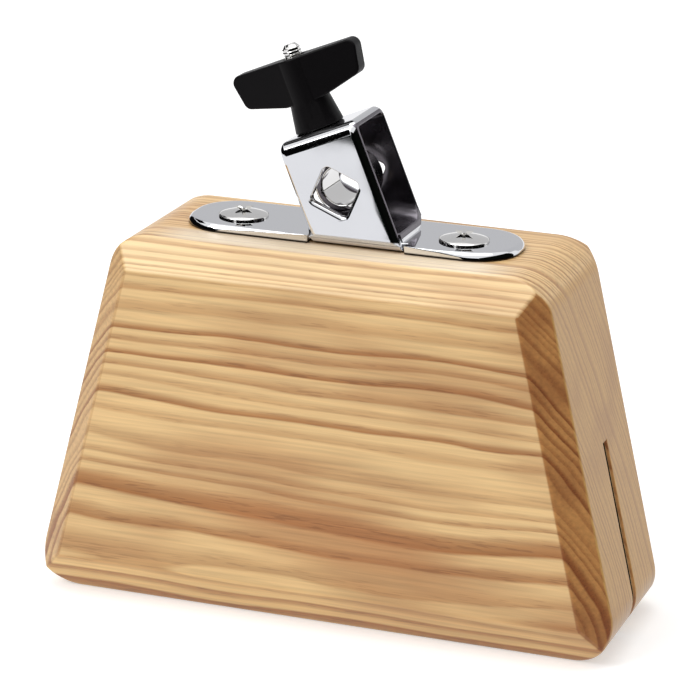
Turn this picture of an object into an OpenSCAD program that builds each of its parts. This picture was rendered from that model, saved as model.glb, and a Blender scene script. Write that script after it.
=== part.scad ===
// Mountable woodblock: a bevelled ash block with a saw kerf, carried by a folded steel clamp.
// Units are millimetres. The origin is at the middle of the underside, +X runs along the block,
// the front faces -Y, and +Z is up.

/* [Block] */
// Length of the block along its underside
base_len = 165; // [150:1:200]
// Length of the block along its top
top_len = 116.5; // [100:0.5:140]
// Height of the block
block_h = 101; // [80:1:130]
// Thickness of the block from front to back
block_t = 58; // [50:1:80]
// Radius of the two upper corners of the outline
shoulder_r = 12; // [4:0.5:20]
// Radius of the two lower corners of the outline
foot_r = 10.5; // [4:0.5:20]
// How deep the bevels cut in from the front and from the back
bevel_d = 7.2; // [2:0.1:12]
// How far the bevels reach in from the sloping ends
bevel_end = 7; // [3:0.1:12]
// How far the bevels reach in from the top
bevel_top = 8.3; // [3:0.1:14]
// How far the bevels reach in from the underside
bevel_foot = 11; // [3:0.1:14]
// Width of the saw kerf that frees the two tongues
kerf_w = 2.4; // [1:0.1:5]
// Height of the saw kerf above the underside
kerf_h = 52.5; // [30:0.5:65]

/* [Clamp bracket] */
// Thickness of the steel sheet
sheet_t = 2.2; // [1.5:0.1:3]
// Length of the base plate
plate_len = 91; // [80:0.5:105]
// Width of the base plate
plate_w = 27; // [25:0.5:36]
// Corner radius of the base plate
plate_r = 12.2; // [4:0.1:12.4]
// Width of the strip that is folded into the loop
strip_w = 22.7; // [18:0.1:26]
// Lean of the loop away from upright, towards -X
lean = 22.8; // [15.6:0.6:24.6]
// Depth of the loop from its front to its back, over the metal
loop_depth = 22.9; // [19:0.1:25]
// Height of the rod's centre above the base plate
rod_rise = 12.3; // [10:0.1:16]
// Height of the loop's top over the rod's centre, measured along the lean
loop_rise = 16; // [15:0.1:22]
// Offset of the rod's centre from the middle of the block, towards -X
rod_offset = 1.1; // [0:0.1:3]
// Offset of the middle of the strip from the rod's centre, towards +X
strip_offset = 0.2; // [0:0.1:2]
// Side of the square rod holes, which stand on a corner
rod_hole = 10.4; // [10.1:0.1:11.5]
// Corner radius of the rod holes
rod_hole_r = 1.4; // [0.5:0.1:2]
// Inner radius of the bends at the top of the loop
bend_r = 1.3; // [0.5:0.1:2.5]
// Inner radius of the bend where the strip leaves the plate
root_r = 0.5; // [0.5:0.1:2]
// Inner radius of the bend where the strip's end comes back over the plate
heel_r = 4.4; // [1:0.1:5]

/* [Eyebolt] */
// Bore of the eye, for a rod of 9.5
eye_bore = 10.1; // [9.8:0.1:10.1]
// Wall of the eye round its bore
eye_wall = 2.4; // [1.5:0.1:2.6]
// Width of the eye along the rod
eye_w = 13; // [6:0.1:14]
// Rounding of the eye's outer rims
eye_rim_r = 1.1; // [0.3:0.1:1.4]
// Height of the eye over the centre of the rod holes at rest
eye_lift = 0.5; // [0:0.1:0.6]
// Thread diameter of the bolt
bolt_d = 5; // [4:0.1:6]
// Diameter of the collar between the eye and the thread
collar_d = 7; // [6:0.1:8]
// Height of the collar over the eye
collar_h = 1.2; // [0.5:0.1:2]
// Offset of the bolt's axis from the middle of the eye, towards -X
bolt_offset = 2.4; // [0:0.1:2.5]
// How far the bolt stands out of the wing nut at rest
bolt_out = 3.4; // [1:0.1:6]
// Pitch of the thread
thread_pitch = 0.8; // [0.7:0.05:1]

/* [Wing nut] */
// Span of the wings over their upper corners
wing_span = 36; // [28:0.5:44]
// Total height of the wing nut
nut_h = 19.4; // [16:0.1:24]
// Radius of the hub at the bracket
hub_r = 6.6; // [6:0.1:8]
// Radius of the hub at the roots of the wings
neck_r = 5.4; // [4.8:0.1:6]
// Height of the wing roots over the bracket
wing_root_h = 7.5; // [5:0.1:10]
// Height of the wing tips' lower corners over the bracket
wing_tip_h = 9.9; // [8:0.1:14]
// How much narrower the wings are at their lower corners, on each side
wing_rake = 1; // [0:0.1:3]
// Thickness of the wings at the hub
wing_t = 9.6; // [5:0.1:10.5]
// Radius of the wings' corners
wing_corner_r = 2.2; // [1:0.1:3]
// Outer diameter of the threaded steel insert
insert_d = 8; // [7:0.1:9]
// Length of the threaded steel insert
insert_len = 8; // [5:0.1:12]

/* [Screws] */
// Distance between the two wood screws
screw_gap = 61; // [50:0.5:75]
// Diameter of the screw heads
head_d = 13.2; // [9:0.1:14]
// Height of the domed screw heads
head_h = 1.7; // [1.5:0.1:4]
// Height of the plain rim under the dome
head_rim = 0.5; // [0.2:0.1:1]
// Diameter of the screw shanks
shank_d = 4.5; // [3.5:0.1:5.5]
// Length of the screws under the head
shank_len = 28; // [15:0.5:40]
// Length of the screws' points
point_len = 6; // [3:0.5:8]

/* [Clearances] */
// Clearance round the screw shanks in the plate's holes
plate_hole_gap = 0.3; // [0.1:0.05:0.5]
// Clearance round the screw shanks in the pilot holes
pilot_gap = 0.05; // [0.02:0.01:0.2]
// Clearance round the bolt in the top of the bracket
bolt_hole_gap = 0.4; // [0.2:0.05:0.6]
// Running clearance between the bolt and the insert's thread
thread_gap = 0.06; // [0.02:0.01:0.1]
// Clearance round the insert in the plastic hub
insert_gap = 0.02; // [0.01:0.01:0.05]
// Clearance under the wing nut
nut_gap = 0.1; // [0.05:0.05:0.3]
// Clearance between the strip's root bend and the end that comes back over the plate
heel_gap = 0.4; // [0.2:0.1:1]
// Width of the relief cuts beside the root bend
relief_w = 0.4; // [0.3:0.1:2]

/* [Hidden] */
$fn = 96;

// One overrun serves every cut
over = 1;
// Slope of the block's ends, as the angle inside the foot
foot_angle = atan2(block_h, (base_len - top_len) / 2);
// Distances from the sharp corners of the outline to where the roundings start
foot_run = foot_r / tan(foot_angle / 2);
shoulder_run = shoulder_r * tan(foot_angle / 2);

// Plate and loop
plate_top = block_h + sheet_t;
front_y = -plate_w / 2;
rear_y = front_y + loop_depth;
mid_y = front_y + loop_depth / 2;
rod_x = -rod_offset;
rod_z = plate_top + rod_rise;
root_out = root_r + sheet_t;
heel_out = heel_r + sheet_t;
bend_out = bend_r + sheet_t;
strip_reach = 2 * (strip_w + loop_rise + rod_rise);
flange_front = front_y + root_out + heel_gap;

// Bolt, nut and insert, as heights over the rod's centre along the lean
nut_base = loop_rise + nut_gap;
nut_top = nut_base + nut_h;
bolt_top = nut_top + bolt_out;
bolt_tip = 1.5 * thread_pitch;
eye_r = eye_bore / 2 + eye_wall;
bore_r = bolt_d / 2 + thread_gap;
// The bore widens over the insert so that only the steel guides the bolt
nut_bore_r = bore_r + plate_hole_gap;
wing_end = wing_span / 2;
// The wings thin towards their tips
tip_thin_share = 0.52;

// Screws
screw_hole_r = shank_d / 2 + plate_hole_gap;
pilot_r = shank_d / 2 + pilot_gap;

// Where a line at distance s from the loop's centre line meets the height z
function strip_x(s, z) = rod_x + (s + strip_offset - (z - rod_z) * sin(lean)) / cos(lean);

// Places children in the loop's own axes: X across the strip, Z along the lean
module at_rod() {
    translate([rod_x, mid_y, rod_z]) rotate([0, -lean, 0]) children();
}

// Places children on the bolt's axis, which leans with the loop
module at_bolt() {
    at_rod() translate([-bolt_offset, 0, 0]) children();
}

// Turns a flat outline that is drawn as Y over Z into a bar along X
module bar_along_x(len) {
    rotate([90, 0, 90]) linear_extrude(height = len, center = true) children();
}

// Turns a flat outline that is drawn as X over Z into a slab along Y
module slab_along_y(len) {
    rotate([90, 0, 0]) linear_extrude(height = len, center = true) children();
}

// A rectangle with true round corners
module round_rect(w, h, r) {
    square([w, h - 2 * r], center = true);
    square([w - 2 * r, h], center = true);
    for (x = [-1, 1], y = [-1, 1])
        translate([x * (w / 2 - r), y * (h / 2 - r)]) circle(r = r);
}

// Outline of the block seen from the front
module block_outline() {
    dx = cos(foot_angle);
    dz = sin(foot_angle);
    right = [
        [base_len / 2 - foot_run, 0],
        [base_len / 2 - foot_run * dx, foot_run * dz],
        [top_len / 2 + shoulder_run * dx, block_h - shoulder_run * dz],
        [top_len / 2 - shoulder_run, block_h]
    ];
    left = [for (i = [len(right) - 1 : -1 : 0]) [-right[i][0], right[i][1]]];
    polygon(concat(right, left));
    for (side = [-1, 1]) {
        translate([side * (base_len / 2 - foot_run), foot_r]) circle(r = foot_r);
        translate([side * (top_len / 2 - shoulder_run), block_h - shoulder_r]) circle(r = shoulder_r);
    }
}

// The two long wedges that bevel one side of the block, front and back, below a face at z = 0
module bevel_pair(reach) {
    slope_out = bevel_d * (1 + over / reach);
    slope_in = reach * (1 + over / bevel_d);
    for (turn = [0, 1]) mirror([0, turn, 0])
        bar_along_x(2 * base_len) polygon([
            [-block_t / 2 - over, over],
            [-block_t / 2 - over, -slope_in],
            [-block_t / 2 + slope_out, over]
        ]);
}

module block() {
    color("burlywood") difference() {
        slab_along_y(block_t) block_outline();
        translate([0, 0, block_h]) bevel_pair(bevel_top);
        rotate([0, 180, 0]) bevel_pair(bevel_foot);
        for (side = [-1, 1])
            translate([side * base_len / 2, 0, 0]) rotate([0, side * foot_angle, 0]) bevel_pair(bevel_end);
        translate([-base_len, -kerf_w / 2, -over]) cube([2 * base_len, kerf_w, kerf_h + over]);
        for (side = [-1, 1])
            translate([side * screw_gap / 2, mid_y, block_h]) screw_bore(pilot_r, pilot_gap);
    }
}

// The hollow that a wood screw leaves: a straight bore and a cone at its end
module screw_bore(r, gap) {
    straight = shank_len - sheet_t - point_len;
    translate([0, 0, -straight]) cylinder(r = r, h = straight + over);
    translate([0, 0, -straight - point_len - gap]) cylinder(r1 = gap, r2 = r, h = point_len + gap);
}

// The loop's upper part in Y over Z, open downwards
module arch(half, top, r, legs) {
    translate([-half, -legs]) square([2 * half, legs + top - r]);
    translate([-half + r, 0]) square([2 * (half - r), top]);
    for (side = [-1, 1]) translate([side * (half - r), top - r]) circle(r = r);
}

// A quarter of a ring whose corner would be at the origin, in the quarter of +Y and +Z
module quarter_bend(r_in, r_out) {
    translate([r_out, r_out]) difference() {
        intersection() {
            circle(r = r_out);
            translate([-r_out, -r_out]) square(r_out);
        }
        circle(r = r_in);
    }
}

// The loop's lower part in Y over Z: the front wall on its root bend, the rear wall on its heel
module lower_walls() {
    translate([front_y, block_h]) quarter_bend(root_r, root_out);
    translate([front_y, block_h + root_out]) square([sheet_t, rod_z + sheet_t - block_h - root_out]);
    translate([rear_y, plate_top]) mirror([1, 0]) quarter_bend(heel_r, heel_out);
    translate([rear_y - sheet_t, plate_top + heel_out])
        square([sheet_t, rod_z + sheet_t - plate_top - heel_out]);
    translate([flange_front, plate_top]) square([rear_y - heel_out - flange_front, sheet_t]);
}

// The strip before it is cut to its width
module strip_sheet() {
    bar_along_x(strip_reach) lower_walls();
    intersection() {
        at_rod() bar_along_x(strip_reach) difference() {
            arch(loop_depth / 2, loop_rise, bend_out, strip_reach);
            arch(loop_depth / 2 - sheet_t, loop_rise - sheet_t, bend_r, strip_reach + over);
        }
        translate([-strip_reach, front_y - over, rod_z])
            cube([2 * strip_reach, loop_depth + 2 * over, strip_reach]);
    }
}

// The plate, cut away where the strip bends up from its front edge
module base_plate() {
    root_left = strip_x(-strip_w / 2, plate_top) - relief_w;
    root_right = strip_x(strip_w / 2, block_h) + relief_w;
    translate([0, 0, block_h]) linear_extrude(height = sheet_t) difference() {
        round_rect(plate_len, plate_w, plate_r);
        translate([root_left, front_y - over]) square([root_right - root_left, root_out + over]);
        for (side = [-1, 1]) translate([side * screw_gap / 2, mid_y]) circle(r = screw_hole_r);
    }
}

module clamp_bracket() {
    color("silver") difference() {
        union() {
            base_plate();
            intersection() {
                strip_sheet();
                at_rod() translate([strip_offset, 0, 0])
                    cube([strip_w, 2 * plate_w, 2 * strip_reach], center = true);
            }
        }
        at_rod() rotate([0, 45, 0]) slab_along_y(2 * plate_w) round_rect(rod_hole, rod_hole, rod_hole_r);
        at_bolt() translate([0, 0, loop_rise - sheet_t - over])
            cylinder(r = bolt_d / 2 + bolt_hole_gap, h = sheet_t + 2 * over);
    }
}

// Half of the eye's wall in section: distance from the bore's axis over width
module eye_section() {
    inner = eye_bore / 2;
    flat = eye_w / 2 - eye_rim_r;
    polygon([
        [inner, -eye_w / 2],
        [eye_r - eye_rim_r, -eye_w / 2],
        [eye_r, -flat],
        [eye_r, flat],
        [eye_r - eye_rim_r, eye_w / 2],
        [inner, eye_w / 2]
    ]);
    for (side = [-1, 1]) translate([eye_r - eye_rim_r, side * flat]) circle(r = eye_rim_r);
}

module eyebolt() {
    stem = bolt_top - eye_lift - bolt_tip;
    color("gainsboro") at_rod() translate([0, 0, eye_lift]) difference() {
        union() {
            rotate([90, 0, 0]) rotate_extrude() eye_section();
            translate([-bolt_offset, 0, 0]) {
                cylinder(d = bolt_d, h = stem);
                translate([0, 0, stem]) cylinder(d1 = bolt_d, d2 = bolt_d - 2 * bolt_tip, h = bolt_tip);
                cylinder(d = collar_d, h = eye_r + collar_h);
            }
        }
        rotate([90, 0, 0]) cylinder(d = eye_bore, h = eye_w + collar_d, center = true);
    }
}

// One wing and its mirror image, seen from the front, X over height
module wing_outline() {
    r = wing_corner_r;
    low = [wing_end - wing_rake - r, wing_tip_h + r];
    high = [wing_end - r, nut_h - r];
    for (side = [0, 1]) mirror([side, 0]) hull() {
        translate([0, wing_root_h]) square([neck_r, nut_h - wing_root_h]);
        translate(low) circle(r = r);
        translate(high) circle(r = r);
    }
}

// The outline that the wings have from above, thinner towards the tips
module wing_plan() {
    tip = wing_t * tip_thin_share / 2;
    polygon([
        [-wing_end, -tip], [0, -wing_t / 2], [wing_end, -tip],
        [wing_end, tip], [0, wing_t / 2], [-wing_end, tip]
    ]);
}

module wing_nut() {
    insert_top = insert_len + insert_gap;
    color("#1c1a1e") at_bolt() translate([0, 0, nut_base]) difference() {
        union() {
            cylinder(r1 = hub_r, r2 = neck_r, h = wing_root_h);
            translate([0, 0, wing_root_h]) cylinder(r = neck_r, h = nut_h - wing_root_h);
            intersection() {
                slab_along_y(2 * wing_t) wing_outline();
                linear_extrude(height = nut_h) wing_plan();
            }
        }
        translate([0, 0, -over]) cylinder(r = insert_d / 2 + insert_gap, h = insert_top + over);
        cylinder(r = nut_bore_r, h = nut_h + over);
    }
}

module nut_insert() {
    color("gray") at_bolt() translate([0, 0, nut_base]) difference() {
        cylinder(d = insert_d, h = insert_len);
        translate([0, 0, -over]) cylinder(r = bore_r, h = insert_len + 2 * over);
    }
}

// A domed wood screw whose head rests on z = 0
module wood_screw() {
    cap_h = head_h - head_rim;
    ball_r = (pow(head_d / 2, 2) + pow(cap_h, 2)) / (2 * cap_h);
    color("whitesmoke") {
        cylinder(d = head_d, h = head_rim);
        translate([0, 0, head_rim]) intersection() {
            translate([0, 0, cap_h - ball_r]) sphere(r = ball_r);
            cylinder(d = head_d, h = cap_h);
        }
        translate([0, 0, point_len - shank_len]) cylinder(d = shank_d, h = shank_len - point_len);
        translate([0, 0, -shank_len]) cylinder(d1 = 0, d2 = shank_d, h = point_len);
    }
}

module left_screw() {
    translate([-screw_gap / 2, mid_y, plate_top]) wood_screw();
}

module right_screw() {
    translate([screw_gap / 2, mid_y, plate_top]) wood_screw();
}

block();
clamp_bracket();
eyebolt();
wing_nut();
nut_insert();
left_screw();
right_screw();
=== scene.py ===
"""A mountable percussion woodblock of ash on a folded, chromed rod clamp, in a white studio.

Lengths are millimetres in the classes of the finishes and the pieces, which turn them to metres,
and metres in those of the camera and the studio. +X runs along the block, its front faces -Y, and
+Z is up.
"""
import logging
import math
from dataclasses import dataclass
from enum import Enum
from typing import Any

import bmesh
import bpy
from mathutils import Matrix, Vector


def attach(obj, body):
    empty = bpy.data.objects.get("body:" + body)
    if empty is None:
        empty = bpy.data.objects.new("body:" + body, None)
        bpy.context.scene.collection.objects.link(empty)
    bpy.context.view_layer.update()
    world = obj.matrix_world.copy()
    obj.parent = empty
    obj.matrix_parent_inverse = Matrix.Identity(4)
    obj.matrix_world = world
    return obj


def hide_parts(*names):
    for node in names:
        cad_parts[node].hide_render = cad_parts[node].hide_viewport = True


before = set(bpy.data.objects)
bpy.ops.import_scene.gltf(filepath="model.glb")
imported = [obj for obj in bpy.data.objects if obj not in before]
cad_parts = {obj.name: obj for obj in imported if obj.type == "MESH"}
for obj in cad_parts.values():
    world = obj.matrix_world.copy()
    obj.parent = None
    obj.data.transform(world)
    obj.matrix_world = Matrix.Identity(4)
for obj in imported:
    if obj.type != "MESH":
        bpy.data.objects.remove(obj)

MM = 0.001
# The middle of the mounting rod, and the clamp's lean from upright in degrees.
ROD = (-1.1, -2.05, 115.5)
LEAN = 22.8
# Points closer than this are joined, in millimetres.
WELD = 0.002
# Points closer than this to a plane or a line are on it, in millimetres.
NEAR = 0.01
# Faces that turn by less than this many degrees are one.
FLAT = 0.6
# Nearly all of a noise texture's values lie between these.
NOISE = (0.3, 0.7)
LOG = logging.getLogger("woodblock")

Pair = tuple[float, float]
Triple = tuple[float, float, float]
Shade = tuple[float, float, float, float]
Tree = bpy.types.NodeTree
Socket = bpy.types.NodeSocket


class Body(Enum):
    """The parts that move on their own."""

    BLOCK = "body"
    NUT = "nut"
    BOLT = "bolt"


def linear(code: str, alpha: float = 1.0) -> Shade:
    """Turns an sRGB hex colour into the linear values that shaders take.

    Args:
        code: The colour, such as "#e6c592".
        alpha: The fourth value.

    Returns:
        Red, green, blue and alpha.
    """
    def channel(at: int) -> float:
        """Returns one linear channel."""
        value = int(code[at:at + 2], 16) / 255
        return value / 12.92 if value <= 0.04045 else ((value + 0.055) / 1.055) ** 2.4

    return channel(1), channel(3), channel(5), alpha


def blank_tree(owner: bpy.types.Material | bpy.types.World) -> Tree:
    """Clears a material's or a world's nodes.

    Args:
        owner: The material or the world.

    Returns:
        Its empty tree.
    """
    owner.use_nodes = True
    owner.node_tree.nodes.clear()
    return owner.node_tree


def add(tree: Tree, kind: str, inputs: dict[Any, Any] | None = None,
        **settings: Any) -> bpy.types.Node:
    """Adds a node, sets it up and links it.

    Args:
        tree: The tree that gets the node.
        kind: The node's type.
        inputs: A value or an output socket for each input, by the input's name or number.
        settings: The node's own settings.

    Returns:
        The new node.
    """
    node = tree.nodes.new(kind)
    for name, value in settings.items():
        setattr(node, name, value)
    for key, value in (inputs or {}).items():
        if isinstance(value, Socket):
            tree.links.new(value, node.inputs[key])
        else:
            node.inputs[key].default_value = value
    return node


def new_surface(name: str, inputs: dict[Any, Any]) -> tuple[bpy.types.Material, Tree,
                                                           bpy.types.Node]:
    """Starts a material with a principled shader.

    Args:
        name: The material's name.
        inputs: The shader's constant values.

    Returns:
        The material, its node tree and its shader.
    """
    material = bpy.data.materials.new(name)
    tree = blank_tree(material)
    shader = add(tree, "ShaderNodeBsdfPrincipled", inputs)
    add(tree, "ShaderNodeOutputMaterial", {"Surface": shader.outputs[0]})
    return material, tree, shader


def millimetres(tree: Tree) -> tuple[Socket, Socket]:
    """Gives a material the coordinates of its own piece.

    Args:
        tree: The material's tree.

    Returns:
        The place on the piece, in millimetres, and the way that the surface faces.
    """
    place = add(tree, "ShaderNodeTexCoord")
    at = add(tree, "ShaderNodeVectorMath", {0: place.outputs["Object"], "Scale": 1 / MM},
             operation="SCALE").outputs[0]
    return at, place.outputs["Normal"]


@dataclass(frozen=True)
class LacqueredAsh:
    """White ash, flat-sawn, sanded and sprayed with a satin clear lacquer.

    Ash is ring-porous: each year starts with a row of open pores that shows as a darker line,
    and closes with smooth pale wood. The years are shells round the heart of the trunk, so one
    field gives stripes and flames on the front, and arcs on the ends.

    A reach is the length, depth and height over which a pattern changes, in millimetres, and a
    rate is how often it changes in each millimetre. A pair of levels, a fade or a facing gives
    where a change starts and where it ends. Real pores are about 0.2 mm wide, and are drawn twice
    as coarse so that they show.
    """

    pale: str = "#eac58b"
    early: str = "#a36528"
    heart: str = "#9c5f2e"
    pore: str = "#75461c"
    stain: str = "#b0733f"
    end_mean: str = "#d2a870"
    # A painted highlight, pale cream, on the level top in front of the plate.
    painted_highlight: str = "#fdf3dc"
    # Painted shade, nearly black, on the kerf's walls.
    kerf_painted_shade: str = "#1c100a"
    year: float = 1.9
    year_spread: float = 2.2
    spread_rate: float = 0.28
    trunk: Triple = (0.0, -225.0, -25.0)
    wander: float = 9.0
    wander_reach: Triple = (190.0, 55.0, 55.0)
    ripple: float = 1.3
    ripple_reach: Triple = (45.0, 10.0, 10.0)
    early_levels: tuple[Pair, ...] = ((0.0, 0.1), (0.12, 1.0), (0.34, 0.8), (0.66, 0.08),
                                      (1.0, 0.1))
    line_strength: Pair = (0.35, 1.0)
    cloud_reach: Triple = (70.0, 22.0, 22.0)
    cloud_levels: Pair = (0.45, 0.7)
    cloud_most: float = 0.45
    stain_middle: Triple = (2.0, -29.0, 27.0)
    stain_reach: Triple = (48.0, 40.0, 12.0)
    stain_slope: float = 0.1
    stain_fade: Pair = (0.3, 1.15)
    stain_most: float = 0.62
    fibre_rate: Triple = (0.03, 1.1, 1.1)
    fibre_levels: Pair = (0.25, 0.75)
    fibre_lift: Pair = (0.85, 1.15)
    pore_rate: Triple = (0.14, 2.4, 2.4)
    pore_levels: Pair = (0.56, 0.68)
    pore_most: float = 0.5
    # The right bevels are painted darker and browner: painted shade.
    right_bevel_shade_facing: Pair = (0.14, 0.36)
    right_bevel_painted_shade: Shade = (0.64, 0.43, 0.24, 1.0)
    # The left bevels are painted greyer and darker: a painted sheen and shade.
    left_bevel_sheen_facing: Pair = (-0.1, -0.3)
    left_bevel_painted_sheen: Shade = (0.80, 0.74, 0.68, 1.0)
    # The top bevels are painted paler: a painted highlight.
    top_bevel_highlight_facing: Pair = (0.15, 0.45)
    top_bevel_painted_highlight: Shade = (1.05, 1.12, 1.24, 1.0)
    # The foot bevels are painted paler, though they face down: painted light.
    foot_bevel_light_facing: Pair = (-0.15, -0.45)
    foot_bevel_painted_light: Shade = (1.14, 1.12, 1.02, 1.0)
    # The ends are calmed towards one mean tone and tinted darker: end grain's tone and painted
    # shade.
    end_facing: Pair = (0.8, 0.93)
    end_grain_and_shade_tint: Shade = (0.83, 0.72, 0.43, 1.0)
    end_calm: float = 0.5
    # Where the painted highlight lies: level faces just in front of the plate, fading out towards
    # the ends.
    highlight_level_facing: Pair = (0.75, 0.98)
    highlight_margin: Pair = (-11.0, -14.0)
    highlight_margin_end: Pair = (54.0, 36.0)
    highlight_most: float = 0.55
    # The kerf's walls, which get the painted shade.
    kerf_half: float = 1.22
    wall_facing: float = 0.7

    def swayed(self, tree: Tree, at: Socket) -> Socket:
        """Bends the place as the trunk wanders, which turns the stripes into flames.

        Args:
            tree: The material's tree.
            at: The place on the block.

        Returns:
            The place in a trunk that would be straight.
        """
        bent = at
        for reach, sway in ((self.wander_reach, self.wander), (self.ripple_reach, self.ripple)):
            spot = add(tree, "ShaderNodeVectorMath", {0: at, 1: reach},
                       operation="DIVIDE").outputs[0]
            noise = add(tree, "ShaderNodeTexNoise", {"Vector": spot, "Scale": 1.0,
                                                     "Detail": 2.0}).outputs["Color"]
            noise = add(tree, "ShaderNodeVectorMath", {0: noise, 1: (0.5, 0.5, 0.5)},
                        operation="SUBTRACT").outputs[0]
            bent = add(tree, "ShaderNodeVectorMath", {0: noise, 1: (0, sway, sway), 2: bent},
                       operation="MULTIPLY_ADD").outputs[0]
        return bent

    def early_lines(self, tree: Tree, bent: Socket) -> Socket:
        """Draws the porous wood that starts each year, stronger in some years than in others.

        Args:
            tree: The material's tree.
            bent: The place in the straight trunk.

        Returns:
            The early wood's share of the surface.
        """
        spoke = add(tree, "ShaderNodeVectorMath", {0: bent, 1: self.trunk},
                    operation="SUBTRACT").outputs[0]
        spoke = add(tree, "ShaderNodeVectorMath", {0: spoke, 1: (0, 1, 1)},
                    operation="MULTIPLY").outputs[0]
        radius = add(tree, "ShaderNodeVectorMath", {0: spoke}, operation="LENGTH").outputs["Value"]
        age = add(tree, "ShaderNodeMath", {0: radius, 1: self.year}, operation="DIVIDE").outputs[0]
        uneven = add(tree, "ShaderNodeTexNoise", {
            "W": age, "Scale": self.spread_rate, "Detail": 1.0},
            noise_dimensions="1D").outputs["Fac"]
        age = add(tree, "ShaderNodeMath", {0: uneven, 1: self.year_spread, 2: age},
                  operation="MULTIPLY_ADD").outputs[0]
        within = add(tree, "ShaderNodeMath", {0: age}, operation="FRACT").outputs[0]
        which = add(tree, "ShaderNodeMath", {0: age}, operation="FLOOR").outputs[0]
        strength = add(tree, "ShaderNodeTexWhiteNoise", {"W": which},
                       noise_dimensions="1D").outputs["Value"]
        strength = add(tree, "ShaderNodeMapRange", {
            0: strength, 3: self.line_strength[0], 4: self.line_strength[1]}).outputs[0]
        porous = add(tree, "ShaderNodeValToRGB", {0: within})
        (_, first), *between, (_, last) = self.early_levels
        elements = porous.color_ramp.elements
        elements[0].color, elements[1].color = (first, first, first, 1), (last, last, last, 1)
        for position, level in between:
            elements.new(position).color = (level, level, level, 1)
        return add(tree, "ShaderNodeMath", {0: porous.outputs[0], 1: strength},
                   operation="MULTIPLY").outputs[0]

    def clouded(self, tree: Tree, at: Socket, bent: Socket, colour: Socket) -> Socket:
        """Lays broad clouds of darker wood over the years, and one heart stain low on the front.

        Args:
            tree: The material's tree.
            at: The place on the block.
            bent: The place in the straight trunk.
            colour: The colour of the years.

        Returns:
            The colour with its clouds and its stain.
        """
        cloud = add(tree, "ShaderNodeVectorMath", {0: at, 1: self.cloud_reach},
                    operation="DIVIDE").outputs[0]
        cloud = add(tree, "ShaderNodeTexNoise", {"Vector": cloud, "Scale": 1.0,
                                                 "Detail": 2.0}).outputs["Fac"]
        cloud = add(tree, "ShaderNodeMapRange", {
            0: cloud, 1: self.cloud_levels[0], 2: self.cloud_levels[1], 3: 0.0,
            4: self.cloud_most}, interpolation_type="SMOOTHSTEP").outputs[0]
        colour = add(tree, "ShaderNodeMix", {0: cloud, 6: colour, 7: linear(self.heart)},
                     data_type="RGBA").outputs[2]
        offset = add(tree, "ShaderNodeVectorMath", {0: bent, 1: self.stain_middle},
                     operation="SUBTRACT").outputs[0]
        parts = add(tree, "ShaderNodeSeparateXYZ", {0: offset})
        level = add(tree, "ShaderNodeMath", {0: parts.outputs["X"], 1: self.stain_slope,
                                             2: parts.outputs["Z"]},
                    operation="MULTIPLY_ADD").outputs[0]
        offset = add(tree, "ShaderNodeCombineXYZ", {0: parts.outputs["X"], 1: parts.outputs["Y"],
                                                    2: level}).outputs[0]
        offset = add(tree, "ShaderNodeVectorMath", {0: offset, 1: self.stain_reach},
                     operation="DIVIDE").outputs[0]
        away = add(tree, "ShaderNodeVectorMath", {0: offset}, operation="LENGTH").outputs["Value"]
        stain = add(tree, "ShaderNodeMapRange", {
            0: away, 1: self.stain_fade[0], 2: self.stain_fade[1], 3: self.stain_most,
            4: 0.0}, interpolation_type="SMOOTHSTEP").outputs[0]
        return add(tree, "ShaderNodeMix", {0: stain, 6: colour, 7: linear(self.stain)},
                   data_type="RGBA").outputs[2]

    def fibrous(self, tree: Tree, at: Socket, line: Socket,
                colour: Socket) -> tuple[Socket, Socket]:
        """Runs fibres along the block, and pores that show as short dashes in the early wood.

        Args:
            tree: The material's tree.
            at: The place on the block.
            line: The early wood's share of the surface.
            colour: The colour of the wood.

        Returns:
            The colour with its fibres, and their relief.
        """
        fibre = add(tree, "ShaderNodeVectorMath", {0: at, 1: self.fibre_rate},
                    operation="MULTIPLY").outputs[0]
        fibre = add(tree, "ShaderNodeTexNoise", {"Vector": fibre, "Scale": 1.0,
                                                 "Detail": 3.0}).outputs["Fac"]
        lift = add(tree, "ShaderNodeMapRange", {
            0: fibre, 1: self.fibre_levels[0], 2: self.fibre_levels[1], 3: self.fibre_lift[0],
            4: self.fibre_lift[1]}).outputs[0]
        colour = add(tree, "ShaderNodeVectorMath", {0: colour, "Scale": lift},
                     operation="SCALE").outputs[0]
        dash = add(tree, "ShaderNodeVectorMath", {0: at, 1: self.pore_rate},
                   operation="MULTIPLY").outputs[0]
        dash = add(tree, "ShaderNodeTexNoise", {"Vector": dash, "Scale": 1.0,
                                                "Detail": 1.0}).outputs["Fac"]
        dash = add(tree, "ShaderNodeMapRange", {
            0: dash, 1: self.pore_levels[0], 2: self.pore_levels[1], 3: 0.0,
            4: self.pore_most}, interpolation_type="SMOOTHSTEP").outputs[0]
        dash = add(tree, "ShaderNodeMath", {0: dash, 1: line}, operation="MULTIPLY").outputs[0]
        colour = add(tree, "ShaderNodeMix", {0: dash, 6: colour, 7: linear(self.pore)},
                     data_type="RGBA").outputs[2]
        relief = add(tree, "ShaderNodeMath", {0: dash, 1: -1.0, 2: fibre},
                     operation="MULTIPLY_ADD").outputs[0]
        return colour, relief

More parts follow.
